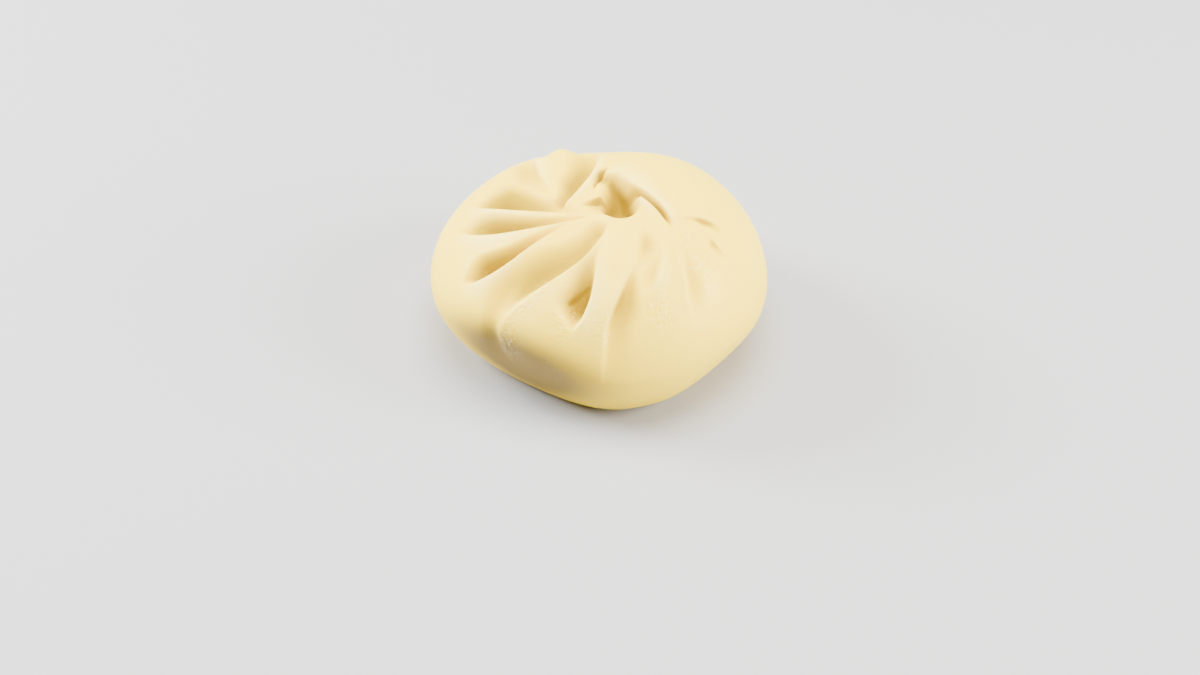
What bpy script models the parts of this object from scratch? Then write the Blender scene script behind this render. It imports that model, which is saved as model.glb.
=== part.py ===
"""A steamed pork bun: one piece of soft wheat dough, drawn up into swirling pleats round a deep hollow.

Units are metres, with +Z up.  The bun stands on Z = 0 and its origin is the middle of its flat sole.
Bearings are degrees from +X, turning towards +Y.  The deep pleats lie on the -X and -Y sides, and the
smooth back of the dough lies towards +X and +Y.
"""

import math
from typing import NamedTuple

import bmesh
import bpy
import numpy as np

MM = 0.001

# Sizes of the whole bun, before it is pressed
BUN_RADIUS = 45.0 * MM
BUN_HEIGHT = 46.6 * MM
WAIST_HEIGHT = 18.0 * MM
SOLE_RADIUS = 31.0 * MM
OVAL = 0.023
OVAL_BEARING = 105.0

# Roundness of the crown above the waist and of the flank below it; 1 is an ellipse
CROWN_SWELL = 0.97
CROWN_RISE = 1.17
FLANK_SWELL = 1.18
FLANK_RISE = 1.20

# Place of the gathered top, seen from above
GATHER_X = 5.7 * MM
GATHER_Y = -2.1 * MM

# Mesh: columns round the bun and rings from sole to gather
COLUMNS = 120
RINGS = 49
SOLE_SHARE = 0.07
FLANK_SHARE = 0.20
RING_CROWDING = 1.35
COLUMN_CROWDING = 0.35
CROWDED_BEARING = 215.0
RING_SWIRL = 45.0

# Length over which a pleat dies away behind its start
START_FADE = 4.0 * MM

# Narrowest steep side of a groove that this mesh can follow
FINEST_WALL = 2.2 * MM

# Colour of steamed dough
DOUGH_COLOUR = (0.93, 0.82, 0.55, 1.0)
DOUGH_ROUGHNESS = 0.42


class Press(NamedTuple):
    """A flattish place on the bun, where the soft dough settled or a hand held it."""

    bearing: float   # direction that the flat faces, degrees
    tilt: float      # how far it faces up, degrees
    distance: float  # its distance from the middle of the sole, mm
    edge: float      # half width of its soft edge, mm


PRESSES = (
    Press(235.0, -23.0, 30.2, 7.0),
    Press(321.5, -32.0, 30.0, 3.2),
    Press(65.0, 45.0, 50.1, 3.0),
    Press(94.0, 55.0, 46.3, 3.0),
    Press(170.0, 50.0, 48.1, 3.0),
)


class Fold(NamedTuple):
    """One pleat: a crest that runs out from the gather, with a groove on one side of it.

    Distances are from the gather's middle, seen from above, and all lengths are in millimetres.
    """

    start: float          # distance at which the crest begins
    start_bearing: float  # its bearing there, degrees
    end: float            # distance at which it fades out
    end_bearing: float    # its bearing there, degrees
    bow: float            # how far its middle bends to the left, looking outwards
    wave: float           # how far its first half swings left and its second half right
    depth: float          # depth of the groove below the plain dough
    steep: float          # width of the groove's steep side, under the crest
    soft: float           # width of its gentle side
    lip: float            # height of the crest above the plain dough
    roll: float           # width over which the crest falls away on its other side
    lean: float           # how far the crest leans over the groove
    peak: float           # share of its length where it is deepest
    root: float           # share of its depth that it already has at its start
    narrow: float         # share of its width that it already has at its start
    side: int = 1         # 1 where the groove is on the right, looking outwards, or -1 on the left


FOLDS = (
    # Deep pleats on the left and front
    Fold(12.7, 234.1, 41.9, 162.5, 4.7, -0.3, 5.8, 2.4, 9.0, 0.5, 4.0, 0.5, 0.78, 0.06, 0.30),
    Fold(12.7, 239.3, 44.8, 173.0, 7.6, -0.6, 5.2, 2.2, 5.8, 0.6, 4.0, 0.5, 0.68, 0.08, 0.20),
    Fold(16.6, 225.6, 44.7, 202.6, 3.6, -1.1, 5.5, 1.8, 6.4, 0.6, 4.0, 0.6, 0.82, 0.02, 0.15),
    Fold(17.8, 255.5, 48.5, 223.5, 2.8, 1.0, 3.2, 2.6, 9.5, 0.2, 9.0, 0.4, 0.55, 0.65, 0.60),
    Fold(18.6, 258.9, 40.8, 252.4, 1.5, -0.7, 4.8, 1.8, 7.5, 0.6, 5.0, 0.6, 0.80, 0.00, 0.70),
    # The slit in the pocket where the last deep pleat ends
    Fold(32.2, 254.0, 37.2, 246.6, 0.3, 0.0, 0.1, 0.9, 1.1, 0.0, 1.0, 0.0, 0.45, 0.90, 1.00),
    # Shallow pleats in front, and short creases towards the smooth side
    Fold(25.4, 276.5, 46.0, 263.5, -1.5, 0.4, 2.4, 1.2, 6.5, 0.3, 4.0, 0.3, 0.42, 0.15, 0.40, -1),
    Fold(15.2, 287.5, 27.0, 275.0, 0.0, 0.0, 1.2, 2.0, 4.5, 0.0, 3.0, 0.0, 0.35, 0.10, 0.80, -1),
    Fold(21.3, 300.8, 33.5, 282.5, 0.9, 0.0, 0.6, 1.8, 3.5, 0.5, 3.0, 0.0, 0.60, 0.10, 0.60),
    Fold(21.3, 311.9, 38.5, 296.8, -0.3, 0.0, 0.8, 1.4, 4.0, 0.3, 2.0, 0.0, 0.55, 0.00, 0.60, -1),
    Fold(18.4, 333.6, 28.1, 344.8, 1.1, 0.0, 1.0, 0.5, 3.0, 0.1, 2.0, 0.0, 0.40, 0.30, 0.60),
    Fold(25.6, 331.8, 31.5, 330.6, 0.0, 0.0, 0.6, 0.5, 3.0, 0.1, 2.0, 0.0, 0.20, 0.20, 0.70),
    # Pleats at the back left, which lean the other way
    Fold(13.7, 197.1, 29.3, 97.2, -2.7, -0.4, 4.2, 2.6, 7.5, 0.7, 1.8, 0.4, 0.28, 0.65, 0.60, -1),
    Fold(16.0, 184.0, 42.0, 124.0, 1.4, 0.4, 2.4, 2.2, 6.0, 0.7, 4.0, 0.3, 0.60, 0.10, 0.40, -1),
    Fold(7.8, 160.0, 12.4, 104.0, 0.8, 0.0, 2.0, 0.8, 1.3, 0.1, 0.6, 0.0, 0.45, 0.50, 0.80),
    # The crease that runs into the gather from the left
    Fold(5.4, 226.0, 13.4, 212.5, 0.2, 0.0, 0.1, 0.4, 1.1, 0.0, 1.0, 0.0, 0.35, 1.00, 1.00),
    # The long lip that closes over the gather, the tongue under it, and the rim in front
    Fold(6.9, 106.6, 20.2, 315.8, 1.2, -0.2, 2.0, 1.0, 1.6, 1.0, 3.5, 0.5, 0.70, 0.75, 2.80),
    Fold(4.4, 312.0, 15.6, 307.5, 0.4, 0.0, 0.0, 1.6, 1.0, 1.0, 2.2, 0.0, 0.25, 0.60, 1.00),
    Fold(16.2, 222.4, 12.0, 281.0, -0.1, 0.0, 3.2, 6.8, 1.4, 0.0, 2.0, 0.0, 0.60, 0.00, 0.75, -1),
)


class Hollow(NamedTuple):
    """The open middle of the gather: a lopsided bowl with an oval mouth.  Lengths are in millimetres."""

    across: float      # its middle, to the right of the gather's middle
    back: float        # its middle, behind the gather's middle
    width: float       # half width of the mouth
    length: float      # half length of the mouth
    turn: float        # turn of its long axis from +Y towards -X, degrees
    taper: float       # how much narrower it grows towards the back
    sag_across: float  # place of its lowest point across the mouth, as a share of the half width
    sag_back: float    # place of its lowest point along the mouth, as a share of the half length
    depth: float       # depth of the bowl
    floor: float       # share of the way out to the mouth where its wall begins


THROAT = Hollow(-0.5, -2.4, 5.0, 9.8, 3.0, 0.42, 0.05, -0.42, 8.0, 0.35)


class Mound(NamedTuple):
    """A soft swelling of the dough, or a dent where its height is negative.  Lengths are in millimetres."""

    distance: float  # distance of its middle from the gather's middle, seen from above
    bearing: float   # its bearing there, degrees
    width: float     # half width across
    length: float    # half length, front to back
    turn: float      # turn of its length from +Y towards -X, degrees
    height: float    # rise of its middle


MOUNDS = (
    # The knob of dough that stands on the bun's outline at the back, and the dent at its left
    Mound(25.7, 126.6, 6.5, 9.0, 0.0, 2.4),
    Mound(28.0, 154.5, 4.0, 7.0, 20.0, -0.8),
    # The dent between two pleats near the left front edge
    Mound(40.2, 221.0, 4.5, 8.0, -35.0, -1.0),
)


def smooth_step(low: float, high: float, value: np.ndarray) -> np.ndarray:
    """Rise smoothly from 0 at low to 1 at high."""
    share = np.clip((value - low) / (high - low), 0.0, 1.0)
    return share * share * (3.0 - 2.0 * share)


def facing(bearing: float, tilt: float) -> np.ndarray:
    """Unit vector towards a bearing and a tilt in degrees."""
    turn, lift = math.radians(bearing), math.radians(tilt)
    return np.array((math.cos(turn) * math.cos(lift), math.sin(turn) * math.cos(lift), math.sin(lift)))


def press_flat(points: np.ndarray, press: Press) -> np.ndarray:
    """Push back whatever stands beyond a flat, with a soft edge."""
    normal = facing(press.bearing, press.tilt)
    edge = press.edge * MM
    excess = points @ normal - press.distance * MM
    blend = (excess + edge) ** 2 / (4.0 * edge)
    push = np.where(excess < -edge, 0.0, np.where(excess > edge, excess, blend))
    return points - push[..., None] * normal


def body_points(bearing: np.ndarray, climb: np.ndarray) -> np.ndarray:
    """Points of the plain bun, for a bearing in radians and a climb from 0 (sole) to 1 (gather)."""
    sole = np.clip(climb / SOLE_SHARE, 0.0, 1.0)
    flank = np.clip((climb - SOLE_SHARE) / FLANK_SHARE, 0.0, 1.0)
    crown = np.clip((climb - SOLE_SHARE - FLANK_SHARE) / (1.0 - SOLE_SHARE - FLANK_SHARE), 0.0, 1.0)
    tuck = (1.0 - flank) * math.pi / 2.0
    rise = (1.0 - (1.0 - crown) ** RING_CROWDING) * math.pi / 2.0
    flank_radius = SOLE_RADIUS + (BUN_RADIUS - SOLE_RADIUS) * np.cos(tuck) ** FLANK_SWELL
    flank_height = WAIST_HEIGHT * (1.0 - np.sin(tuck) ** FLANK_RISE)
    crown_radius = BUN_RADIUS * np.abs(np.cos(rise)) ** CROWN_SWELL
    crown_height = WAIST_HEIGHT + (BUN_HEIGHT - WAIST_HEIGHT) * np.sin(rise) ** CROWN_RISE
    radius = np.where(sole < 1.0, SOLE_RADIUS * sole, np.where(crown > 0.0, crown_radius, flank_radius))
    height = np.where(sole < 1.0, 0.0, np.where(crown > 0.0, crown_height, flank_height))
    radius = radius * (1.0 + OVAL * np.cos(2.0 * (bearing - math.radians(OVAL_BEARING))))
    drift = np.sin(rise) ** 2
    points = np.stack((GATHER_X * drift + radius * np.cos(bearing),
                       GATHER_Y * drift + radius * np.sin(bearing), height), axis=-1)
    for press in PRESSES:
        points = press_flat(points, press)
    return points


def body_normals(bearing: np.ndarray, climb: np.ndarray) -> np.ndarray:
    """Outward directions of the plain bun at the same places."""
    step = 1e-3
    low = np.clip(climb - step, 0.0, 1.0)
    high = np.clip(climb + step, 0.0, 1.0)
    along = body_points(bearing, high) - body_points(bearing, low)
    across = np.stack((-np.sin(bearing), np.cos(bearing), np.zeros_like(bearing)), axis=-1)
    normal = np.cross(across, along)
    return normal / np.linalg.norm(normal, axis=-1, keepdims=True)


def from_gather(distance: float, bearing: float) -> np.ndarray:
    """The place at a distance in millimetres and a bearing in degrees from the gather's middle."""
    angle = math.radians(bearing)
    return np.array((GATHER_X + distance * MM * math.cos(angle), GATHER_Y + distance * MM * math.sin(angle)))


def fold_path(fold: Fold, count: int = 17) -> np.ndarray:
    """Points, seen from above, along one crest, from the gather outwards."""
    start = from_gather(fold.start, fold.start_bearing)
    chord = from_gather(fold.end, fold.end_bearing) - start
    across = np.array((-chord[1], chord[0])) / np.linalg.norm(chord)
    share = np.linspace(0.0, 1.0, count)[:, None]
    aside = 4.0 * share * (1.0 - share) * fold.bow + np.sin(2.0 * math.pi * share) * fold.wave
    return start + share * chord + aside * MM * across


def nearest_on_path(places: np.ndarray,
                    path: np.ndarray) -> tuple[np.ndarray, np.ndarray, np.ndarray, np.ndarray]:
    """Signed distance from a path, share of the way along it, way before its start, direction across it."""
    best = np.full(len(places), np.inf)
    side = np.zeros(len(places))
    share = np.zeros(len(places))
    before = np.zeros(len(places))
    across = np.zeros((len(places), 2))
    spans = len(path) - 1
    for index in range(spans):
        start, step = path[index], path[index + 1] - path[index]
        length = math.hypot(step[0], step[1])
        offset = places - start
        # The first and last spans run on past the path's ends, so that its two sides meet there
        low = -np.inf if index == 0 else 0.0
        high = np.inf if index == spans - 1 else 1.0
        along = np.clip((offset @ step) / length ** 2, low, high)
        gap = np.linalg.norm(offset - along[:, None] * step, axis=-1)
        turn = step[0] * offset[:, 1] - step[1] * offset[:, 0]
        nearer = gap < best
        best = np.where(nearer, gap, best)
        side = np.where(nearer, np.sign(turn), side)
        share = np.where(nearer, np.clip((index + along) / spans, 0.0, 1.0), share)
        before = np.where(nearer, np.maximum(-along, 0.0) * length if index == 0 else 0.0, before)
        across[nearer] = (-step[1] / length, step[0] / length)
    return best * side, share, before, across


def fold_relief(fold: Fold, places: np.ndarray) -> tuple[np.ndarray, np.ndarray]:
    """Rise of the dough and its sideways shift, from one fold, at places seen from above."""
    distance, share, before, across = nearest_on_path(places, fold_path(fold))
    grown = smooth_step(0.0, fold.peak, share)
    reach = (fold.root + (1.0 - fold.root) * grown) * (1.0 - smooth_step(fold.peak, 1.0, share))
    reach = reach * (1.0 - smooth_step(0.0, START_FADE, before))
    width = (fold.narrow + (1.0 - fold.narrow) * grown) * MM
    away = -fold.side * distance + fold.lean * MM * reach
    steep = np.maximum(fold.steep * width, FINEST_WALL)
    wall = smooth_step(0.0, 1.0, away / steep)
    bank = smooth_step(0.0, 1.0, (away - steep) / (fold.soft * width))
    crest = 1.0 - smooth_step(0.0, 1.0, np.where(away > 0.0, away / steep, -away / (fold.roll * width)))
    rise = (fold.lip * crest - fold.depth * (wall - bank)) * MM * reach
    return rise, -fold.side * across * (fold.lean * MM * reach * crest)[:, None]


def hollow_drop(hollow: Hollow, places: np.ndarray) -> np.ndarray:
    """How far the dough sinks into the open middle of the gather."""
    turn = math.radians(hollow.turn)
    right = places[:, 0] - GATHER_X - hollow.across * MM
    back = places[:, 1] - GATHER_Y - hollow.back * MM
    along = (back * math.cos(turn) - right * math.sin(turn)) / (hollow.length * MM)
    over = (right * math.cos(turn) + back * math.sin(turn)) / (hollow.width * MM)
    over = over / (1.0 - hollow.taper * np.clip(along, -1.0, 1.0))
    # Share of the way from the lowest point, which lies off the middle, out to the mouth
    over, along = over - hollow.sag_across, along - hollow.sag_back
    sag = hollow.sag_across ** 2 + hollow.sag_back ** 2
    towards = over * hollow.sag_across + along * hollow.sag_back
    outward = (towards + np.sqrt(towards ** 2 + (1.0 - sag) * (over ** 2 + along ** 2))) / (1.0 - sag)
    return hollow.depth * MM * (1.0 - smooth_step(hollow.floor, 1.0, outward))


def mound_rise(mound: Mound, places: np.ndarray) -> np.ndarray:
    """How far the dough swells, or sinks, at a mound."""
    middle = from_gather(mound.distance, mound.bearing)
    turn = math.radians(mound.turn)
    right, back = places[:, 0] - middle[0], places[:, 1] - middle[1]
    over = (right * math.cos(turn) + back * math.sin(turn)) / (mound.width * MM)
    along = (back * math.cos(turn) - right * math.sin(turn)) / (mound.length * MM)
    return mound.height * MM * (1.0 - smooth_step(0.0, 1.0, np.hypot(over, along)))


def shape_dough(sphere: np.ndarray) -> np.ndarray:
    """Move the points of a unit sphere to the surface of the bun."""
    climb = 0.5 + np.arcsin(np.clip(sphere[:, 2], -1.0, 1.0)) / math.pi
    column = np.arctan2(sphere[:, 1], sphere[:, 0])
    crowded = math.radians(CROWDED_BEARING)
    bearing = column - COLUMN_CROWDING * np.sin(column - crowded)
    bearing = bearing + math.radians(RING_SWIRL) * smooth_step(0.55, 1.0, climb)
    points = body_points(bearing, climb)
    normals = body_normals(bearing, climb)
    # The relief belongs to the crown and fades out over the upper flank
    upper = smooth_step(SOLE_SHARE + 0.6 * FLANK_SHARE, SOLE_SHARE + 1.3 * FLANK_SHARE, climb)
    places = points[:, :2]
    rise = np.zeros(len(points))
    shift = np.zeros((len(points), 2))
    for fold in FOLDS:
        fold_rise, fold_shift = fold_relief(fold, places)
        rise += fold_rise
        shift += fold_shift
    for mound in MOUNDS:
        rise += mound_rise(mound, places)
    rise -= hollow_drop(THROAT, places)
    points = points + normals * (rise * upper)[:, None]
    points[:, :2] += shift * upper[:, None]
    middle = (points[:, :2].min(axis=0) + points[:, :2].max(axis=0)) / 2.0
    points[:, :2] -= middle
    return points


def dough_material() -> bpy.types.Material:
    """Steamed wheat dough: cream, soft and slightly moist."""
    material = bpy.data.materials.new("steamed_dough")
    material.use_nodes = True
    shader = material.node_tree.nodes["Principled BSDF"]
    shader.inputs["Base Color"].default_value = DOUGH_COLOUR
    shader.inputs["Roughness"].default_value = DOUGH_ROUGHNESS
    shader.inputs["Metallic"].default_value = 0.0
    material.diffuse_color = DOUGH_COLOUR
    return material


def make_dough(columns: int = COLUMNS, rings: int = RINGS) -> bpy.types.Object:
    """The bun itself, a sphere of dough shaped into body, pleats and gather."""
    form = bmesh.new()
    bmesh.ops.create_uvsphere(form, u_segments=columns, v_segments=rings, radius=1.0)
    sphere = np.array([vert.co for vert in form.verts])
    for vert, point in zip(form.verts, shape_dough(sphere)):
        vert.co = point
    bmesh.ops.recalc_face_normals(form, faces=form.faces)
    mesh = bpy.data.meshes.new("bun_dough")
    form.to_mesh(mesh)
    form.free()
    mesh.shade_smooth()
    mesh.materials.append(dough_material())
    return bpy.data.objects.new("bun_dough", mesh)


def main() -> None:
    """Build the bun in an empty scene."""
    for old in list(bpy.data.objects):
        bpy.data.objects.remove(old)
    pork_bun = bpy.data.collections.new("pork_bun")
    bpy.context.scene.collection.children.link(pork_bun)
    pork_bun.objects.link(make_dough())


main()
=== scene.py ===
"""Looks of a steamed pork bun: its finely pleated dough, its finish, and the studio that shows it.

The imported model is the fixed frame.  One piece of dough replaces the plain solid, on the same body and
the same sizes, with a finer skin.  Lengths are metres unless a name or a comment says millimetres, and
bearings are degrees from +X, turning towards +Y.
"""

from __future__ import annotations

import logging
import math
from dataclasses import dataclass, field
from enum import Enum

import bmesh
import bpy
import numpy as np
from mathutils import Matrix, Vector

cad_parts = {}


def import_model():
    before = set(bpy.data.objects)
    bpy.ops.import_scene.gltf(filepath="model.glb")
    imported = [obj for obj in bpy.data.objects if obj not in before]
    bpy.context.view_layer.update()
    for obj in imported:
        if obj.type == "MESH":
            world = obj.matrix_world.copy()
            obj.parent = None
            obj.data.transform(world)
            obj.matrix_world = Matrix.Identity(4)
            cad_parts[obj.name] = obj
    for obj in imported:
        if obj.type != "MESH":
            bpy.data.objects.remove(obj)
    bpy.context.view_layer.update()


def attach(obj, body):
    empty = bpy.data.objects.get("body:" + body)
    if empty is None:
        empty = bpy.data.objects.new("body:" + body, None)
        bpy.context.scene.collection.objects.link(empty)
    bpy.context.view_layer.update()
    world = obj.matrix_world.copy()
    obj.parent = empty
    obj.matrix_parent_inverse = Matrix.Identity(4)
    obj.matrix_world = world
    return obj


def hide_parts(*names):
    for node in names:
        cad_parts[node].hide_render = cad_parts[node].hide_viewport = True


MM = 0.001
# Length over which a pleat dies away behind its start
START_FADE = 4.0 * MM
# Most painted highlight that a crest gets, and the painted highlight that each millimetre of its
# groove's depth adds
BRIGHTEST_CREST = 0.8
LIGHT_PER_DEPTH = 0.05
# How a groove's painted shade deepens towards its bottom; below 1 it is deep soon
SHADE_CURVE = 0.75
LOG = logging.getLogger("pork_bun")


class Side(Enum):
    """The side of its crest on which a pleat's groove lies, looking outwards from the gather."""

    RIGHT = 1
    LEFT = -1


def smooth_step(low: float, high: float, value: np.ndarray) -> np.ndarray:
    """Rise smoothly from 0 to 1.

    Args:
        low: the value at which the result leaves 0.
        high: the value at which the result reaches 1.
        value: the values to grade.

    Returns:
        The graded values, from 0 to 1.
    """
    share = np.clip((value - low) / (high - low), 0.0, 1.0)
    return share * share * (3.0 - 2.0 * share)


@dataclass(frozen=True)
class Press:
    """A flattish place on the bun, where the soft dough settled or a hand held it."""

    bearing: float   # direction that the flat faces, degrees
    tilt: float      # how far it faces up, degrees
    distance: float  # its distance from the middle of the sole, mm
    edge: float      # half width of its soft edge, mm

    def flatten(self, points: np.ndarray) -> np.ndarray:
        """Push back whatever stands beyond the flat, with a soft edge.

        Args:
            points: places on the dough, in metres.

        Returns:
            The same places after the press.
        """
        turn, lift = math.radians(self.bearing), math.radians(self.tilt)
        normal = np.array((math.cos(turn) * math.cos(lift), math.sin(turn) * math.cos(lift), math.sin(lift)))
        edge = self.edge * MM
        excess = points @ normal - self.distance * MM
        blend = (excess + edge) ** 2 / (4.0 * edge)
        push = np.where(excess < -edge, 0.0, np.where(excess > edge, excess, blend))
        return points - push[..., None] * normal


@dataclass(frozen=True)
class LowSideShade:
    """The low side of the bun, facing down and to the left, where shade is painted on the skin."""

    # Its middle and its half width round the bun, in degrees
    bearing: float = 240.0
    spread: float = 38.0
    # Height of its middle and its half height, in millimetres
    height: float = 14.0
    reach: float = 15.5
    # Share of the way out to its edge where it begins to fade
    core: float = 0.45

    def share(self, bearing: np.ndarray, height: np.ndarray) -> np.ndarray:
        """Work out how much painted shade the low side gets.

        Args:
            bearing: direction round the bun, in radians.
            height: height above the sole, in metres.

        Returns:
            The share of painted shade at each place, from 0 to 1.
        """
        turn = (np.degrees(bearing) - self.bearing + 180.0) % 360.0 - 180.0
        away = np.hypot(turn / self.spread, (height / MM - self.height) / self.reach)
        return 1.0 - smooth_step(self.core, 1.0, away)


@dataclass(frozen=True)
class Body:
    """The plain bun: a flat sole, a tucked flank and a domed crown that leans towards the gather."""

    # Sizes before it is pressed
    radius: float = 45.0 * MM
    height: float = 46.6 * MM
    waist: float = 18.0 * MM
    sole: float = 31.0 * MM
    # How far it is from round, seen from above, and where it is longest
    oval: float = 0.023
    oval_bearing: float = 105.0
    # Roundness of the crown above the waist and of the flank below it; 1 is an ellipse
    crown_swell: float = 0.97
    crown_rise: float = 1.17
    flank_swell: float = 1.18
    flank_rise: float = 1.20
    # Place of the gathered top, seen from above
    gather_x: float = 5.7 * MM
    gather_y: float = -2.1 * MM
    # Shares of the climb that the sole and the flank take, and how the rings crowd towards the waist
    sole_share: float = 0.07
    flank_share: float = 0.20
    crowding: float = 1.35
    presses: tuple[Press, ...] = (
        Press(235.0, -23.0, 30.2, 7.0),
        Press(321.5, -32.0, 30.0, 3.2),
        Press(65.0, 45.0, 50.1, 3.0),
        Press(94.0, 55.0, 46.3, 3.0),
        Press(170.0, 50.0, 48.1, 3.0),
    )

    def points(self, bearing: np.ndarray, climb: np.ndarray) -> np.ndarray:
        """Places on the plain bun.

        Args:
            bearing: direction round the bun, in radians.
            climb: how far up its skin, from 0 at the sole's middle to 1 at the gather.

        Returns:
            The places, in metres.
        """
        sole = np.clip(climb / self.sole_share, 0.0, 1.0)
        flank = np.clip((climb - self.sole_share) / self.flank_share, 0.0, 1.0)
        crown_start = self.sole_share + self.flank_share
        crown = np.clip((climb - crown_start) / (1.0 - crown_start), 0.0, 1.0)
        tuck = (1.0 - flank) * math.pi / 2.0
        rise = (1.0 - (1.0 - crown) ** self.crowding) * math.pi / 2.0
        flank_radius = self.sole + (self.radius - self.sole) * np.cos(tuck) ** self.flank_swell
        flank_height = self.waist * (1.0 - np.sin(tuck) ** self.flank_rise)
        crown_radius = self.radius * np.abs(np.cos(rise)) ** self.crown_swell
        crown_height = self.waist + (self.height - self.waist) * np.sin(rise) ** self.crown_rise
        radius = np.where(sole < 1.0, self.sole * sole, np.where(crown > 0.0, crown_radius, flank_radius))
        height = np.where(sole < 1.0, 0.0, np.where(crown > 0.0, crown_height, flank_height))
        radius = radius * (1.0 + self.oval * np.cos(2.0 * (bearing - math.radians(self.oval_bearing))))
        drift = np.sin(rise) ** 2
        points = np.stack((self.gather_x * drift + radius * np.cos(bearing),
                           self.gather_y * drift + radius * np.sin(bearing), height), axis=-1)
        for press in self.presses:
            points = press.flatten(points)
        return points

    def normals(self, bearing: np.ndarray, climb: np.ndarray) -> np.ndarray:
        """Outward directions of the plain bun at the same places."""
        step = 1e-3
        low, high = np.clip(climb - step, 0.0, 1.0), np.clip(climb + step, 0.0, 1.0)
        along = self.points(bearing, high) - self.points(bearing, low)
        across = np.stack((-np.sin(bearing), np.cos(bearing), np.zeros_like(bearing)), axis=-1)
        normal = np.cross(across, along)
        return normal / np.linalg.norm(normal, axis=-1, keepdims=True)


@dataclass(frozen=True)
class Relief:
    """What one feature does to the dough: its rise, its sideways shift, its painted shade and its crest's
    painted highlight.
    """

    rise: np.ndarray
    shift: np.ndarray
    shade: np.ndarray
    crest: np.ndarray


@dataclass(frozen=True)
class Fold:
    """One pleat: a crest that runs out from the gather, with a groove on one side of it.

    Distances are from the gather's middle, seen from above, in millimetres, and bearings in degrees.
    """

    start: float          # distance at which the crest begins
    start_bearing: float  # its bearing there
    end: float            # distance at which it fades out
    end_bearing: float    # its bearing there
    bow: float            # how far its middle bends to the left, looking outwards
    wave: float           # how far its first half swings left and its second half right
    depth: float          # depth of the groove below the plain dough
    steep: float          # width of the groove's steep side, under the crest
    soft: float           # width of its gentle side
    lip: float            # height of the crest above the plain dough
    roll: float           # width over which the crest falls away on its other side
    lean: float           # how far the crest leans over the groove
    peak: float           # share of its length where it is deepest
    root: float           # share of its depth that it already has at its start
    narrow: float         # share of its width that it already has at its start
    groove: Side = Side.RIGHT
    tint: float = 0.0     # how much deeper its painted shade is than its form

    def path(self, centre: np.ndarray, count: int = 33) -> np.ndarray:
        """Points, seen from above, along the crest, from the gather outwards."""
        ends = []
        for distance, bearing in ((self.start, self.start_bearing), (self.end, self.end_bearing)):
            angle = math.radians(bearing)
            ends.append(centre + distance * MM * np.array((math.cos(angle), math.sin(angle))))
        chord = ends[1] - ends[0]
        across = np.array((-chord[1], chord[0])) / np.linalg.norm(chord)
        share = np.linspace(0.0, 1.0, count)[:, None]
        aside = 4.0 * share * (1.0 - share) * self.bow + np.sin(2.0 * math.pi * share) * self.wave
        return ends[0] + share * chord + aside * MM * across

    def relief(self, places: np.ndarray, centre: np.ndarray) -> Relief:
        """Work out the groove and its crest at places seen from above.

        Args:
            places: X and Y of each place, in metres.
            centre: X and Y of the gather's middle.

        Returns:
            The rise, the sideways shift, the painted shade and the crest's painted highlight at each place.
        """
        distance, share, before, across = nearest_on_path(places, self.path(centre))
        side = self.groove.value
        grown = smooth_step(0.0, self.peak, share)
        reach = (self.root + (1.0 - self.root) * grown) * (1.0 - smooth_step(self.peak, 1.0, share))
        reach = reach * (1.0 - smooth_step(0.0, START_FADE, before))
        width = (self.narrow + (1.0 - self.narrow) * grown) * MM
        away = -side * distance + self.lean * MM * reach
        wall = smooth_step(0.0, 1.0, away / (self.steep * width))
        bank = smooth_step(0.0, 1.0, (away / width - self.steep) / self.soft)
        over = np.where(away > 0.0, away / self.steep, -away / self.roll) / width
        crest = 1.0 - smooth_step(0.0, 1.0, over)
        rise = (self.lip * crest - self.depth * (wall - bank)) * MM * reach
        shift = -side * across * (self.lean * MM * reach * crest)[:, None]
        # Painted highlight along the crest
        light = crest * reach * min(BRIGHTEST_CREST, self.lip + LIGHT_PER_DEPTH * self.depth)
        # Painted shade down in the groove, deepened further by the tint
        shade = reach * np.maximum(wall - bank, 0.0) ** SHADE_CURVE * (self.depth + self.tint)
        return Relief(rise, shift, shade, light)


def nearest_on_path(places: np.ndarray,
                    path: np.ndarray) -> tuple[np.ndarray, np.ndarray, np.ndarray, np.ndarray]:
    """Find where places lie against a path.

    Args:
        places: X and Y of each place.
        path: X and Y of points along the path.

    Returns:
        The distance from the path, positive on its left, the share of the way along it, the way before
        its start, and the direction across it, towards its left.
    """
    best = np.full(len(places), np.inf)
    side = np.zeros(len(places))
    share = np.zeros(len(places))
    before = np.zeros(len(places))
    across = np.zeros((len(places), 2))
    spans = len(path) - 1
    for index in range(spans):
        start, step = path[index], path[index + 1] - path[index]
        length = math.hypot(step[0], step[1])
        offset = places - start
        # The first and last spans run on past the path's ends, so that its two sides meet there
        low = -np.inf if index == 0 else 0.0
        high = np.inf if index == spans - 1 else 1.0
        along = np.clip((offset @ step) / length ** 2, low, high)
        gap = np.linalg.norm(offset - along[:, None] * step, axis=-1)
        turn = step[0] * offset[:, 1] - step[1] * offset[:, 0]
        nearer = gap < best
        best = np.where(nearer, gap, best)
        side = np.where(nearer, np.sign(turn), side)
        share = np.where(nearer, np.clip((index + along) / spans, 0.0, 1.0), share)
        before = np.where(nearer, np.maximum(-along, 0.0) * length if index == 0 else 0.0, before)
        across[nearer] = (-step[1] / length, step[0] / length)
    return best * side, share, before, across


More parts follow.
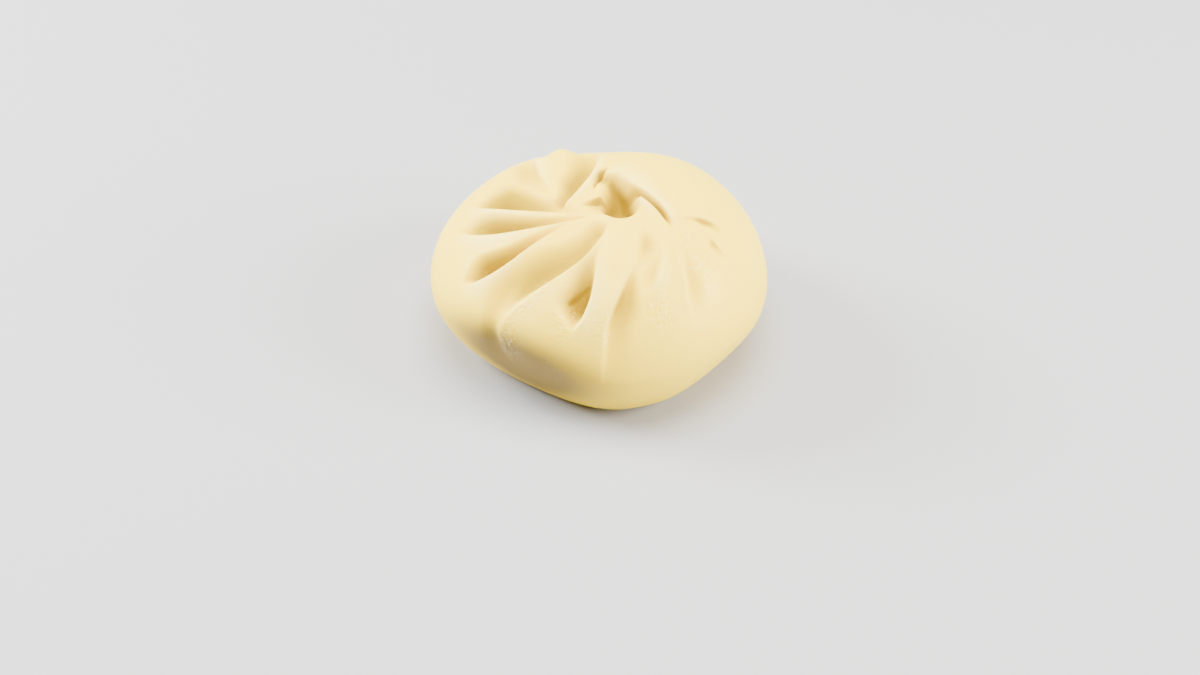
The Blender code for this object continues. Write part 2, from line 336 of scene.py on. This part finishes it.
@dataclass(frozen=True)
class Hollow:
    """The open middle of the gather: a lopsided bowl with an oval mouth.  Lengths are in millimetres."""

    # Place of its middle, to the right of the gather's middle and behind it
    across: float = -0.5
    back: float = -2.4
    # Half width and half length of the mouth, its turn from +Y towards -X in degrees, and its taper
    width: float = 5.0
    length: float = 9.8
    turn: float = 3.0
    taper: float = 0.42
    # Place of its lowest point, as shares of the half width and the half length
    sag_across: float = 0.05
    sag_back: float = -0.42
    depth: float = 8.0
    # Share of the way out to the mouth where its wall begins
    floor: float = 0.35
    # Depth of a pleat that would have as much painted shade
    shade: float = 6.2
    # Share of the way out to the mouth where the painted shade ends
    shade_edge: float = 1.12

    def relief(self, places: np.ndarray, centre: np.ndarray) -> Relief:
        """Work out how far the dough sinks into the open middle.

        Args:
            places: X and Y of each place, in metres.
            centre: X and Y of the gather's middle.

        Returns:
            The fall and the painted shade at each place, with no shift.
        """
        turn = math.radians(self.turn)
        right = places[:, 0] - centre[0] - self.across * MM
        back = places[:, 1] - centre[1] - self.back * MM
        along = (back * math.cos(turn) - right * math.sin(turn)) / (self.length * MM)
        over = (right * math.cos(turn) + back * math.sin(turn)) / (self.width * MM)
        over = over / (1.0 - self.taper * np.clip(along, -1.0, 1.0))
        # Share of the way from the lowest point, which lies off the middle, out to the mouth
        over, along = over - self.sag_across, along - self.sag_back
        sag = self.sag_across ** 2 + self.sag_back ** 2
        towards = over * self.sag_across + along * self.sag_back
        outward = (towards + np.sqrt(towards ** 2 + (1.0 - sag) * (over ** 2 + along ** 2))) / (1.0 - sag)
        sink = 1.0 - smooth_step(self.floor, 1.0, outward)
        still = np.zeros(len(places))
        # Painted shade in the open middle, reaching a little past its mouth
        shade = (1.0 - smooth_step(self.floor, self.shade_edge, outward)) * self.shade
        return Relief(-self.depth * MM * sink, np.zeros((len(places), 2)), shade, still)


@dataclass(frozen=True)
class Patch:
    """An oval patch of the skin.

    It is given as seen from above, and lengths are in millimetres.
    """

    distance: float  # from the gather's middle to its own
    bearing: float   # its bearing there, degrees
    width: float     # half width across
    length: float    # half length, front to back
    turn: float      # turn of its length from +Y towards -X, degrees

    def share(self, places: np.ndarray, centre: np.ndarray) -> np.ndarray:
        """How far inside the patch each place lies: 1 in its middle, and 0 at its edge and beyond."""
        angle, turn = math.radians(self.bearing), math.radians(self.turn)
        right = places[:, 0] - centre[0] - self.distance * MM * math.cos(angle)
        back = places[:, 1] - centre[1] - self.distance * MM * math.sin(angle)
        over = (right * math.cos(turn) + back * math.sin(turn)) / (self.width * MM)
        along = (back * math.cos(turn) - right * math.sin(turn)) / (self.length * MM)
        return 1.0 - smooth_step(0.0, 1.0, np.hypot(over, along))


@dataclass(frozen=True)
class Mound(Patch):
    """A soft swelling of the dough, or a dent where its height is negative."""

    height: float = 1.0

    def relief(self, places: np.ndarray, centre: np.ndarray) -> Relief:
        """Work out how far the dough swells.

        Args:
            places: X and Y of each place, in metres.
            centre: X and Y of the gather's middle.

        Returns:
            The rise and a dent's painted shade at each place, with no shift.
        """
        rise = self.height * self.share(places, centre)
        still = np.zeros(len(places))
        return Relief(rise * MM, np.zeros((len(places), 2)), np.maximum(-rise, 0.0), still)


def swellings() -> tuple[Mound, ...]:
    """The soft swellings and dents between the pleats."""
    return (
        # The knob of dough that stands on the bun's outline at the back, and the dent at its left
        Mound(25.7, 126.6, 6.5, 9.0, 0.0, 2.4),
        Mound(28.0, 154.5, 4.0, 7.0, 20.0, -0.8),
        # The dent between two pleats near the left front edge
        Mound(40.2, 221.0, 4.5, 8.0, -35.0, -1.0),
    )


def moist_patches() -> tuple[Patch, ...]:
    """Where beads of steam dried on the skin, leaving it pebbled and shiny; pale glints are painted there."""
    return (
        Patch(38.0, 233.2, 4.5, 10.0, -50.0),
        Patch(42.0, 229.0, 4.5, 6.0, -40.0),
        Patch(39.0, 249.0, 7.0, 5.0, 0.0),
        Patch(43.0, 230.0, 4.0, 7.0, -20.0),
        Patch(38.0, 262.0, 4.0, 6.0, 0.0),
        Patch(29.0, 314.1, 6.0, 8.0, 20.0),
        Patch(32.0, 330.5, 4.0, 5.0, 20.0),
        Patch(23.0, 316.0, 4.0, 4.0, 0.0),
        Patch(35.2, 285.3, 7.0, 6.0, 0.0),
        Patch(40.5, 205.0, 3.0, 3.0, 0.0),
    )


def pleats() -> tuple[Fold, ...]:
    """The bun's pleats and creases, in order round the gather."""
    left, right = Side.LEFT, Side.RIGHT
    return (
        # Deep pleats on the left and front
        Fold(12.7, 234.1, 41.9, 162.5, 4.7, -0.3, 5.8, 2.4, 9.0, 0.5, 4.0, 0.5, 0.78, 0.06, 0.3, right, 2.6),
        Fold(12.7, 239.3, 44.8, 173.0, 7.6, -0.6, 5.2, 2.2, 5.8, 0.6, 4.0, 0.5, 0.68, 0.08, 0.2, right, 2.6),
        Fold(16.6, 225.6, 44.7, 202.6, 3.6, -1.1, 5.5, 1.8, 6.4, 0.6, 4.0, 0.6, 0.82, 0.02, 0.15, right, 1.4),
        Fold(17.8, 255.5, 48.5, 223.5, 2.8, 1.0, 3.2, 2.6, 9.5, 0.2, 9.0, 0.4, 0.55, 0.65, 0.6, right, 1.0),
        Fold(18.6, 258.9, 40.8, 252.4, 1.5, -0.7, 4.8, 1.8, 7.5, 0.6, 5.0, 0.6, 0.8, 0.0, 0.7, right, 1.0),
        # The slit in the pocket where the last deep pleat ends, almost flat and drawn as a painted shade line
        Fold(32.2, 254.0, 37.2, 246.6, 0.3, 0.0, 0.1, 0.9, 1.1, 0.0, 1.0, 0.0, 0.45, 0.9, 1.0, right, 11.0),
        # Shallow pleats in front, and short creases towards the smooth side
        Fold(25.4, 276.5, 46.0, 263.5, -1.5, 0.4, 2.4, 1.2, 6.5, 0.3, 4.0, 0.3, 0.42, 0.15, 0.4, left, 0.8),
        Fold(15.2, 287.5, 27.0, 275.0, 0.0, 0.0, 1.2, 2.0, 4.5, 0.0, 3.0, 0.0, 0.35, 0.1, 0.8, left, 0.9),
        Fold(21.3, 300.8, 33.5, 282.5, 0.9, 0.0, 0.6, 1.8, 3.5, 0.5, 3.0, 0.0, 0.6, 0.1, 0.6, right, 0.8),
        Fold(21.3, 311.9, 38.5, 296.8, -0.3, 0.0, 0.8, 1.4, 4.0, 0.3, 2.0, 0.0, 0.55, 0.0, 0.6, left, 0.8),
        Fold(18.4, 333.6, 28.1, 344.8, 1.1, 0.0, 1.0, 0.5, 3.0, 0.1, 2.0, 0.0, 0.4, 0.3, 0.6, right, 3.6),
        Fold(25.6, 331.8, 31.5, 330.6, 0.0, 0.0, 0.6, 0.5, 3.0, 0.1, 2.0, 0.0, 0.2, 0.2, 0.7, right, 2.4),
        # Pleats at the back left, which lean the other way
        Fold(13.7, 197.1, 29.3, 97.2, -2.7, -0.4, 4.2, 2.6, 7.5, 0.7, 1.8, 0.4, 0.28, 0.65, 0.6, left, 1.2),
        Fold(16.0, 184.0, 42.0, 124.0, 1.4, 0.4, 2.4, 2.2, 6.0, 0.7, 4.0, 0.3, 0.6, 0.1, 0.4, left),
        Fold(7.8, 160.0, 12.4, 104.0, 0.8, 0.0, 2.0, 0.8, 1.3, 0.1, 0.6, 0.0, 0.45, 0.5, 0.8, right, 5.0),
        # The crease that runs into the gather from the left, almost flat and drawn as a painted shade line
        Fold(5.4, 226.0, 13.4, 212.5, 0.2, 0.0, 0.1, 0.4, 1.1, 0.0, 1.0, 0.0, 0.35, 1.0, 1.0, right, 5.0),
        # The long lip that closes over the gather, the tongue under it, and the rim in front
        Fold(6.9, 106.6, 20.2, 315.8, 1.2, -0.2, 2.0, 1.0, 1.6, 1.0, 3.5, 0.5, 0.7, 0.75, 2.8, right, 3.4),
        Fold(4.4, 312.0, 15.6, 307.5, 0.4, 0.0, 0.0, 1.6, 1.0, 1.0, 2.2, 0.0, 0.25, 0.6, 1.0),
        Fold(16.2, 222.4, 12.0, 281.0, -0.1, 0.0, 3.2, 6.8, 1.4, 0.0, 2.0, 0.0, 0.6, 0.0, 0.75, left),
    )


def linear(hex_colour: str) -> tuple[float, float, float, float]:
    """Turn an sRGB hex colour into the linear values that a shader takes.

    Args:
        hex_colour: six hex digits, red first.

    Returns:
        Linear red, green, blue and an alpha of 1.
    """
    channels = [int(hex_colour[index:index + 2], 16) / 255.0 for index in (0, 2, 4)]
    bent = [c / 12.92 if c <= 0.04045 else ((c + 0.055) / 1.055) ** 2.4 for c in channels]
    return (bent[0], bent[1], bent[2], 1.0)


def add_node(tree: bpy.types.NodeTree, kind: str, settings: dict | None = None,
             inputs: dict | None = None) -> bpy.types.Node:
    """Add one node with its settings, and link or set its inputs.

    Args:
        tree: the node tree to add to.
        kind: the node's Blender type name.
        settings: attributes to set on the node.
        inputs: an output socket to link or a value to set, for each input by name or number.

    Returns:
        The new node.
    """
    node = tree.nodes.new(kind)
    for name, value in (settings or {}).items():
        setattr(node, name, value)
    for name, value in (inputs or {}).items():
        if isinstance(value, bpy.types.NodeSocket):
            tree.links.new(value, node.inputs[name])
        else:
            node.inputs[name].default_value = value
    return node


@dataclass(frozen=True)
class SteamedDough:
    """Finish of steamed wheat dough: smooth, cream, a little translucent, moist in places."""

    name: str = "steamed_wheat_dough"
    skin_hex: str = "FFD618"
    # Painted highlight along the crests
    crest_highlight_hex: str = "FFE270"
    # Painted shade in the pleats, from shallow to deep
    slope_hex: str = "ECC400"
    valley_hex: str = "B79700"
    deep_hex: str = "967600"
    # Painted shade on the low side that faces down and to the left
    low_shade_hex: str = "8E7228"
    # Painted glints on the moist patches
    glint_hex: str = "FFE890"
    # Shares of the deepest painted shade at which each colour is reached
    skin_shade: float = 0.03
    slope_shade: float = 0.18
    valley_shade: float = 0.50
    roughness: float = 0.44
    moist_roughness: float = 0.24
    # Moisture at which the skin is shiniest
    wettest: float = 0.6
    ior: float = 1.43
    # Sheen of the open skin, and the shade at which none is left
    shine: float = 0.22
    dull_shade: float = 0.4
    # Share of the light that soaks in, how deep it goes, and how far red, green and blue do so
    soak: float = 0.30
    soak_depth: float = 2.0 * MM
    soak_tones: tuple[float, float, float] = (1.0, 0.85, 0.45)
    # Uneven tone: the size of its blotches, and how far they shift the shade
    blotch: float = 14.0 * MM
    blotch_shift: float = 0.10
    # Painted glints, pale specks on the moist patches that stand in for sparkles of light: their size, the
    # noise at which they begin and are whole, and how much of their pale colour they show
    glint_size: float = 1.1 * MM
    glint_begins: float = 0.52
    glint_whole: float = 0.68
    glint_strength: float = 0.45
    # Pebbling: the size, height and strength of its coarse and fine grain, and the size and height of
    # the moist one, which is as strong as the skin is moist
    coarse: tuple[float, float, float] = (3.0 * MM, 0.25 * MM, 0.35)
    fine: tuple[float, float, float] = (0.7 * MM, 0.10 * MM, 0.25)
    pebble: tuple[float, float] = (0.9 * MM, 0.30 * MM)

    def build(self) -> bpy.types.Material:
        """Make the material.

        Returns:
            A material that turns from cream on the skin to a yellow painted shade in the pleats.
        """
        material = bpy.data.materials.new(self.name)
        material.use_nodes = True
        tree = material.node_tree
        shader = tree.nodes["Principled BSDF"]
        place = add_node(tree, "ShaderNodeTexCoord").outputs["Object"]
        tree.links.new(self.colour(tree, place), shader.inputs["Base Color"])
        tree.links.new(self.grain(tree, place), shader.inputs["Normal"])
        moist = add_node(tree, "ShaderNodeAttribute", {"attribute_name": "moist"}).outputs["Fac"]
        gloss = add_node(tree, "ShaderNodeMapRange", inputs={"Value": moist, "From Max": self.wettest,
                                                             "To Min": self.roughness,
                                                             "To Max": self.moist_roughness})
        tree.links.new(gloss.outputs["Result"], shader.inputs["Roughness"])
        shader.inputs["IOR"].default_value = self.ior
        # The floury insides of the pleats have no sheen
        shade = add_node(tree, "ShaderNodeAttribute", {"attribute_name": "pleat_painted_shade"}).outputs["Fac"]
        sheen = add_node(tree, "ShaderNodeMapRange", inputs={"Value": shade, "From Max": self.dull_shade,
                                                             "To Min": self.shine, "To Max": 0.0})
        tree.links.new(sheen.outputs["Result"], shader.inputs["Specular IOR Level"])
        # Light soaks a few millimetres into steamed dough and comes back warmer
        shader.inputs["Subsurface Weight"].default_value = self.soak
        shader.inputs["Subsurface Radius"].default_value = self.soak_tones
        shader.inputs["Subsurface Scale"].default_value = self.soak_depth
        return material

    def colour(self, tree: bpy.types.NodeTree, place: bpy.types.NodeSocket) -> bpy.types.NodeSocket:
        """Cream on the skin, with painted highlights along the crests and yellow painted shade down in the
        pleats.

        Args:
            tree: the material's node tree.
            place: the object coordinates.

        Returns:
            The colour.
        """
        # Uneven kneading shifts the tone a little from place to place
        blotch = add_node(tree, "ShaderNodeTexNoise", inputs={"Vector": place, "Scale": 1.0 / self.blotch,
                                                              "Detail": 3.0, "Roughness": 0.6})
        drift = add_node(tree, "ShaderNodeMath", {"operation": "MULTIPLY_ADD"},
                         {0: blotch.outputs["Fac"], 1: self.blotch_shift, 2: -self.blotch_shift / 2.0})
        # Painted shade: the deeper the pleat, the deeper and yellower the colour
        shade = add_node(tree, "ShaderNodeAttribute", {"attribute_name": "pleat_painted_shade"})
        depth = add_node(tree, "ShaderNodeMath", {"operation": "ADD", "use_clamp": True},
                         {0: shade.outputs["Fac"], 1: drift.outputs[0]})
        ramp = add_node(tree, "ShaderNodeValToRGB", inputs={"Fac": depth.outputs[0]})
        stops = ramp.color_ramp.elements
        stops[0].position, stops[0].color = self.skin_shade, linear(self.skin_hex)
        stops[1].position, stops[1].color = 1.0, linear(self.deep_hex)
        for position, tone in ((self.slope_shade, self.slope_hex), (self.valley_shade, self.valley_hex)):
            stops.new(position).color = linear(tone)
        # Painted highlight: the crests are paler
        crest = add_node(tree, "ShaderNodeAttribute", {"attribute_name": "pleat_painted_highlight"})
        blend = add_node(tree, "ShaderNodeMix", {"data_type": "RGBA"},
                         {"Factor": crest.outputs["Fac"], "A": ramp.outputs["Color"],
                          "B": linear(self.crest_highlight_hex)})
        # Painted shade on the low side that faces down and to the left, where the skin gets little light
        low_shade = add_node(tree, "ShaderNodeAttribute", {"attribute_name": "low_side_painted_shade"})
        whole = add_node(tree, "ShaderNodeMix", {"data_type": "RGBA"},
                         {"Factor": low_shade.outputs["Fac"], "A": blend.outputs["Result"],
                          "B": linear(self.low_shade_hex)})
        # Painted glints: pale specks on the moist patches stand in for sparkles of light
        moist = add_node(tree, "ShaderNodeAttribute", {"attribute_name": "moist"})
        beads = add_node(tree, "ShaderNodeTexNoise", inputs={"Vector": place, "Scale": 1.0 / self.glint_size,
                                                             "Detail": 2.0, "Roughness": 0.6})
        painted_glints = add_node(tree, "ShaderNodeMapRange", inputs={"Value": beads.outputs["Fac"],
                                                              "From Min": self.glint_begins,
                                                              "From Max": self.glint_whole,
                                                              "To Max": self.glint_strength})
        spread = add_node(tree, "ShaderNodeMath", {"operation": "MULTIPLY", "use_clamp": True},
                          {0: painted_glints.outputs["Result"], 1: moist.outputs["Fac"]})
        glinted = add_node(tree, "ShaderNodeMix", {"data_type": "RGBA"},
                            {"Factor": spread.outputs[0], "A": whole.outputs["Result"],
                             "B": linear(self.glint_hex)})
        return glinted.outputs["Result"]

    def grain(self, tree: bpy.types.NodeTree, place: bpy.types.NodeSocket) -> bpy.types.NodeSocket:
        """The faint pebbling of steamed skin, as a bent normal.

        Args:
            tree: the material's node tree.
            place: the object coordinates.

        Returns:
            The normal.
        """
        coarse = add_node(tree, "ShaderNodeTexNoise", inputs={"Vector": place, "Scale": 1.0 / self.coarse[0],
                                                              "Detail": 3.0})
        fine = add_node(tree, "ShaderNodeTexNoise", inputs={"Vector": place, "Scale": 1.0 / self.fine[0],
                                                            "Detail": 2.0})
        soft = add_node(tree, "ShaderNodeBump", inputs={"Strength": self.coarse[2],
                                                        "Distance": self.coarse[1],
                                                        "Height": coarse.outputs["Fac"]})
        sharp = add_node(tree, "ShaderNodeBump", inputs={"Strength": self.fine[2],
                                                         "Distance": self.fine[1],
                                                         "Height": fine.outputs["Fac"],
                                                         "Normal": soft.outputs["Normal"]})
        moist = add_node(tree, "ShaderNodeAttribute", {"attribute_name": "moist"}).outputs["Fac"]
        beads = add_node(tree, "ShaderNodeTexNoise", inputs={"Vector": place, "Scale": 1.0 / self.pebble[0],
                                                             "Detail": 2.0, "Roughness": 0.6})
        pebbles = add_node(tree, "ShaderNodeBump", inputs={"Strength": moist, "Distance": self.pebble[1],
                                                           "Height": beads.outputs["Fac"],
                                                           "Normal": sharp.outputs["Normal"]})
        return pebbles.outputs["Normal"]


@dataclass
class PorkBun:
    """The whole bun: one skin of dough over the frame's solid."""

    body: Body = field(default_factory=Body)
    folds: tuple[Fold, ...] = field(default_factory=pleats)
    mounds: tuple[Mound, ...] = field(default_factory=swellings)
    patches: tuple[Patch, ...] = field(default_factory=moist_patches)
    low_side_shade: LowSideShade = field(default_factory=LowSideShade)
    throat: Hollow = field(default_factory=Hollow)
    finish: SteamedDough = field(default_factory=SteamedDough)
    # Mesh: columns round the bun, rings up it, and how and where the columns crowd
    columns: int = 420
    rings: int = 220
    column_crowding: float = 0.35
    crowded_bearing: float = 215.0
    # Degrees by which the columns turn with the pleats, and the climb at which they begin to
    ring_swirl: float = 45.0
    swirl_start: float = 0.55
    # Shares of the flank's height between which the pleats fade in
    relief_start: float = 0.6
    relief_full: float = 1.3
    # Depth in millimetres at which a pleat's painted shade is deepest
    darkest: float = 7.0

    def shape(self, sphere: np.ndarray) -> tuple[np.ndarray, dict[str, np.ndarray]]:
        """Move the points of a unit sphere to the skin of the bun.

        Args:
            sphere: points of a sphere of radius 1.

        Returns:
            The skin's points, in metres, and by name the pleats' painted shade, their crests' painted
            highlight, the painted shade on the low side, and the moisture, which also places the painted
            glints, at each point, from 0 to 1.
        """
        body = self.body
        climb = 0.5 + np.arcsin(np.clip(sphere[:, 2], -1.0, 1.0)) / math.pi
        column = np.arctan2(sphere[:, 1], sphere[:, 0])
        bearing = column - self.column_crowding * np.sin(column - math.radians(self.crowded_bearing))
        bearing = bearing + math.radians(self.ring_swirl) * smooth_step(self.swirl_start, 1.0, climb)
        plain = body.points(bearing, climb)
        normals = body.normals(bearing, climb)
        upper = smooth_step(body.sole_share + self.relief_start * body.flank_share,
                            body.sole_share + self.relief_full * body.flank_share, climb)
        centre = np.array((body.gather_x, body.gather_y))
        places = plain[:, :2]
        rise, shift = np.zeros(len(plain)), np.zeros((len(plain), 2))
        shade, crest = np.zeros(len(plain)), np.zeros(len(plain))
        for feature in (*self.folds, *self.mounds, self.throat):
            relief = feature.relief(places, centre)
            rise += relief.rise
            shift += relief.shift
            shade = np.maximum(shade, relief.shade)
            crest = np.maximum(crest, relief.crest)
        points = plain + normals * (rise * upper)[:, None]
        points[:, :2] += shift * upper[:, None]
        middle = (points[:, :2].min(axis=0) + points[:, :2].max(axis=0)) / 2.0
        points[:, :2] -= middle
        shade = np.clip(shade * upper / self.darkest, 0.0, 1.0)
        crest = np.clip(crest * upper * (1.0 - shade) ** 2, 0.0, 1.0)
        # Painted shade on the low side
        low_shade = self.low_side_shade.share(np.arctan2(plain[:, 1], plain[:, 0]), plain[:, 2])
        moist = np.max([patch.share(places, centre) for patch in self.patches], axis=0) * upper
        return points, {"pleat_painted_shade": shade, "pleat_painted_highlight": crest, "low_side_painted_shade": low_shade, "moist": moist}

    def build(self) -> bpy.types.Object:
        """Make the dough.

        Returns:
            The finished object, at the origin, with its place in its mesh.
        """
        form = bmesh.new()
        bmesh.ops.create_uvsphere(form, u_segments=self.columns, v_segments=self.rings, radius=1.0)
        sphere = np.array([vert.co for vert in form.verts])
        points, tones = self.shape(sphere)
        for vert, point in zip(form.verts, points):
            vert.co = point
        bmesh.ops.recalc_face_normals(form, faces=form.faces)
        mesh = bpy.data.meshes.new("dough_skin")
        form.to_mesh(mesh)
        form.free()
        for name, values in tones.items():
            layer = mesh.attributes.new(name, "FLOAT", "POINT")
            layer.data.foreach_set("value", values.astype(np.float32))
        mesh.shade_smooth()
        mesh.materials.append(self.finish.build())
        skin = bpy.data.objects.new("dough_skin", mesh)
        bpy.context.scene.collection.objects.link(skin)
        return skin


@dataclass(frozen=True)
class Lamp:
    """A round soft lamp that points at the bun.  Its place and its width are in metres."""

    name: str
    place: tuple[float, float, float]
    width: float
    watts: float
    tone_hex: str

    def hang(self) -> bpy.types.Object:
        """Make the lamp and put it in its place."""
        light = bpy.data.lights.new(self.name, "AREA")
        light.shape = "DISK"
        light.size = self.width
        light.energy = self.watts
        light.color = linear(self.tone_hex)[:3]
        holder = bpy.data.objects.new(self.name, light)
        holder.location = self.place
        holder.rotation_euler = (-Vector(self.place)).to_track_quat("-Z", "Y").to_euler()
        bpy.context.scene.collection.objects.link(holder)
        return holder


@dataclass(frozen=True)
class Studio:
    """Pale floor, soft light and the camera."""

    # The camera: how far it looks down in degrees, its focal length, and the image and its sensor
    pitch: float = 38.9
    focal_px: float = 2122.0
    image_width: float = 1200.0
    image_height: float = 675.0
    sensor_mm: float = 36.0
    # Where the middle of the sole falls in the image, and how large a millimetre is there
    bun_px: tuple[float, float] = (598.7, 325.3)
    scale_px_per_mm: float = 3.73
    near_limit: float = 10.0 * MM
    floor_half_width: float = 4.0
    floor_hex: str = "9E9E9E"
    floor_roughness: float = 0.8
    sky_hex: str = "F6F7FA"
    sky_strength: float = 0.25
    lamps: tuple[Lamp, ...] = (
        Lamp("overhead_softbox", (0.06, 0.02, 1.10), 0.95, 48.0, "FFFEFC"),
        Lamp("right_window", (0.97, -0.22, 0.46), 0.65, 44.0, "FFFEFC"),
        Lamp("left_window", (-0.88, 0.30, 0.55), 0.60, 54.0, "FAFCFF"),
    )

    def build_camera(self) -> bpy.types.Object:
        """Place the camera so that the middle of the sole falls on its pixel."""
        tilt = math.radians(self.pitch)
        ahead = Vector((0.0, math.cos(tilt), -math.sin(tilt)))
        upward = Vector((0.0, math.sin(tilt), math.cos(tilt)))
        distance = self.focal_px / self.scale_px_per_mm * MM
        right = (self.bun_px[0] - self.image_width / 2.0) / self.focal_px
        down = (self.bun_px[1] - self.image_height / 2.0) / self.focal_px
        data = bpy.data.cameras.new("camera")
        data.sensor_width = self.sensor_mm
        data.lens = self.focal_px * self.sensor_mm / self.image_width
        data.clip_start = self.near_limit
        camera = bpy.data.objects.new("camera", data)
        camera.location = -(ahead + Vector((1.0, 0.0, 0.0)) * right - upward * down) * distance
        camera.rotation_euler = (math.pi / 2.0 - tilt, 0.0, 0.0)
        bpy.context.scene.collection.objects.link(camera)
        bpy.context.scene.camera = camera
        return camera

    def build_floor(self) -> bpy.types.Object:
        """Lay the plain pale floor under the bun."""
        form = bmesh.new()
        bmesh.ops.create_grid(form, x_segments=1, y_segments=1, size=self.floor_half_width)
        mesh = bpy.data.meshes.new("floor")
        form.to_mesh(mesh)
        form.free()
        material = bpy.data.materials.new("pale_floor")
        material.use_nodes = True
        shader = material.node_tree.nodes["Principled BSDF"]
        shader.inputs["Base Color"].default_value = linear(self.floor_hex)
        shader.inputs["Roughness"].default_value = self.floor_roughness
        mesh.materials.append(material)
        floor = bpy.data.objects.new("floor", mesh)
        bpy.context.scene.collection.objects.link(floor)
        return floor

    def build_lights(self) -> None:
        """Hang a large soft lamp above and a smaller one at each side, and fill with an even sky."""
        for lamp in self.lamps:
            lamp.hang()
        world = bpy.data.worlds.new("studio_sky")
        world.use_nodes = True
        sky = world.node_tree.nodes["Background"]
        sky.inputs["Color"].default_value = linear(self.sky_hex)
        sky.inputs["Strength"].default_value = self.sky_strength
        bpy.context.scene.world = world


def main() -> None:
    """Load the frame, dress the bun in it, and set up the studio."""
    logging.basicConfig(level=logging.INFO, format="%(name)s: %(message)s")
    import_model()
    skin = PorkBun().build()
    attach(skin, "root")
    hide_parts("bun_dough")
    LOG.info("%s: %d faces", skin.name, len(skin.data.polygons))
    studio = Studio()
    studio.build_camera()
    studio.build_floor()
    studio.build_lights()


if __name__ == "__main__":
    main()
